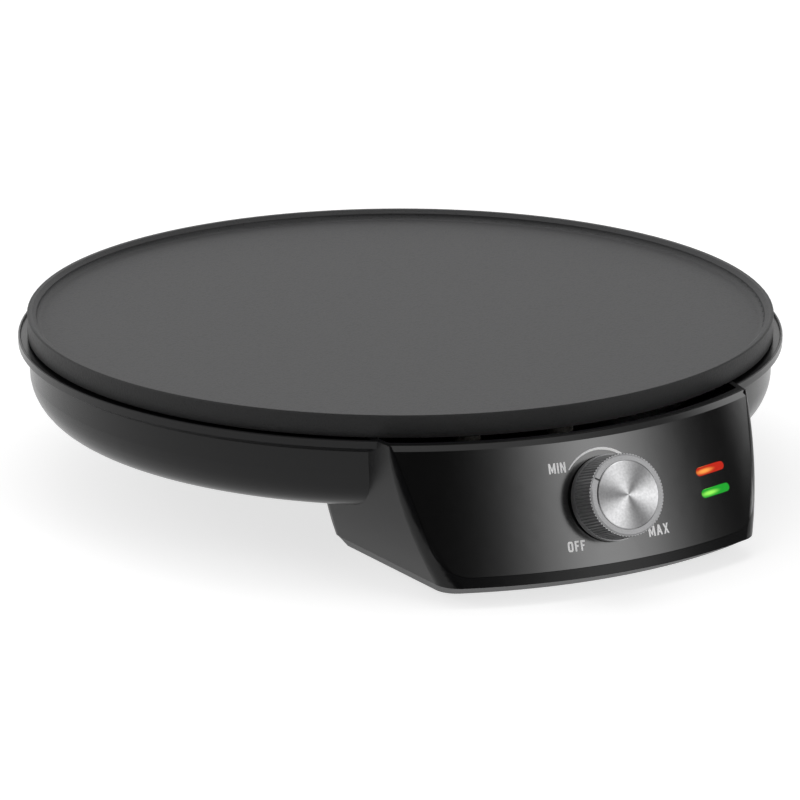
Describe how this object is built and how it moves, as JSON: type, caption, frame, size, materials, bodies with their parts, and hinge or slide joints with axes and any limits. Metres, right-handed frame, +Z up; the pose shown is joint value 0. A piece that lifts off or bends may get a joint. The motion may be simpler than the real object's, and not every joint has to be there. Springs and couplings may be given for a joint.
{
  "type": "electric crepe maker",
  "caption": "Round electric crepe maker: rimmed non-stick plate on a black base with drip ring, front housing with glossy panel, ribbed heat knob, red and green lamps, rubber feet.",
  "frame": {"origin": "middle of the bounding box's footprint, at table height", "axes": "+Z up; the control panel and its knob face -Y; +X is to the right seen from the front"},
  "size_m": [0.3136, 0.3494, 0.067],
  "materials": {
    "plate": "non-stick coating, matt with a fine grain",
    "shell": "satin black",
    "panel": "polished black",
    "cover": "fine matt",
    "shield": "rolled sheet",
    "steel": "zinc plated",
    "element": "dull sheath",
    "ceramic": "unglazed",
    "zinc": "plated",
    "brass": "machined",
    "copper": "drawn tube",
    "red_lens": "clear red",
    "green_lens": "clear green",
    "inner_plastic": "moulded",
    "lamp_glass": "clear",
    "gland": "moulded",
    "feet": "moulded",
    "knob": "satin, ribbed grip",
    "cap": "turned"
  },
  "bodies": {
    "base": {"cooking_plate": "plate", "base_shell": "shell", "control_panel": "panel", "bottom_cover": "cover", "heat_shield": "shield", "plate_spacers": "steel", "plate_screws": "steel", "heating_element": "element", "element_beads": "ceramic", "element_pins": "steel", "thermostat": "zinc", "thermostat_washer": "steel", "thermostat_nut": "brass", "capillary_tube": "copper", "probe_bulb": "copper", "probe_clip": "steel", "thermal_cutout": "ceramic", "cutout_clip": "steel", "clip_screws": "steel", "red_lens": "red_lens", "green_lens": "green_lens", "lamp_holder": "inner_plastic", "pilot_lamps": "lamp_glass", "terminal_block": "inner_plastic", "terminal_screws": "brass", "block_screw": "steel", "cord_gland": "gland", "cover_screws": "steel", "panel_screws": "steel", "front_feet": "feet", "rear_feet": "feet"},
    "dial": {"thermostat_shaft": "steel", "knob_body": "knob", "knob_cap": "cap", "knob_spring": "steel"}
  },
  "joints": [
    {"name": "knob_turn", "type": "hinge", "parent": "base", "child": "dial", "pos_m": [0, -0.15491, 0.0342], "axis": [0, 0.9311, -0.3649], "range_deg": [-76, 186]}
  ]
}
